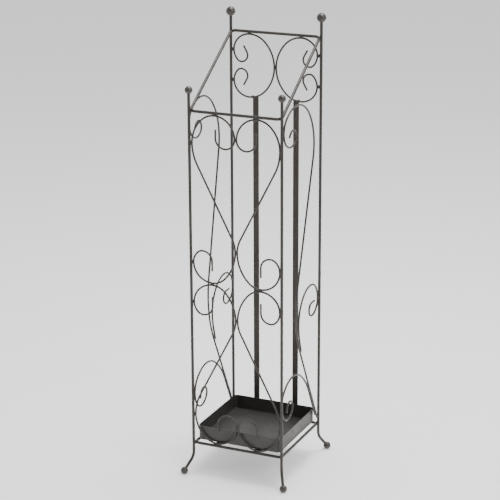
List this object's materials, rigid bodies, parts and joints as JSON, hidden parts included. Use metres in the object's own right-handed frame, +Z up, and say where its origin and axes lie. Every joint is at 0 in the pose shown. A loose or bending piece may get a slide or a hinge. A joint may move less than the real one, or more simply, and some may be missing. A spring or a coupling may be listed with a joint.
{
  "type": "umbrella stand",
  "caption": "Tall square umbrella stand of dark painted steel rod and scrolled wire, higher at the back, on splayed ball feet, with a loose drip tray.",
  "frame": {"origin": "on the floor, under the middle of the four posts", "axes": "+Z up, -Y towards the low front, +X to the right of someone who faces the stand's back from its front"},
  "size_m": [0.1978, 0.2102, 0.7805],
  "materials": {
    "rod_paint": "satin gunmetal-brown powder coat on round rod",
    "ball_paint": "satin gunmetal-brown powder coat on turned balls",
    "wire_paint": "satin gunmetal-brown powder coat on bent wire",
    "bar_paint": "satin gunmetal-brown powder coat on flat bar",
    "tray_paint": "satin gunmetal-brown powder coat on folded sheet"
  },
  "bodies": {
    "frame": {"post_front_left": "rod_paint", "post_front_right": "rod_paint", "post_rear_left": "rod_paint", "post_rear_right": "rod_paint", "top_ring": "rod_paint", "bottom_ring": "rod_paint", "finial_front_left": "ball_paint", "finial_front_right": "ball_paint", "finial_rear_left": "ball_paint", "finial_rear_right": "ball_paint", "foot_front_left": "ball_paint", "foot_front_right": "ball_paint", "foot_rear_left": "ball_paint", "foot_rear_right": "ball_paint", "front_scroll_upper_left": "wire_paint", "front_scroll_upper_right": "wire_paint", "front_scroll_lower_left": "wire_paint", "front_scroll_lower_right": "wire_paint", "back_scroll_left": "wire_paint", "back_scroll_right": "wire_paint", "side_scroll_long_left": "wire_paint", "side_scroll_long_right": "wire_paint", "side_scroll_middle_left": "wire_paint", "side_scroll_middle_right": "wire_paint", "side_scroll_lower_left": "wire_paint", "side_scroll_lower_right": "wire_paint", "back_bar_left": "bar_paint", "back_bar_right": "bar_paint"},
    "tray": {"drip_tray": "tray_paint"}
  },
  "joints": [
    {"name": "tray_lift", "type": "slide", "parent": "frame", "child": "tray", "axis": [0, 0, 1], "range_m": [0, 0.75]}
  ]
}
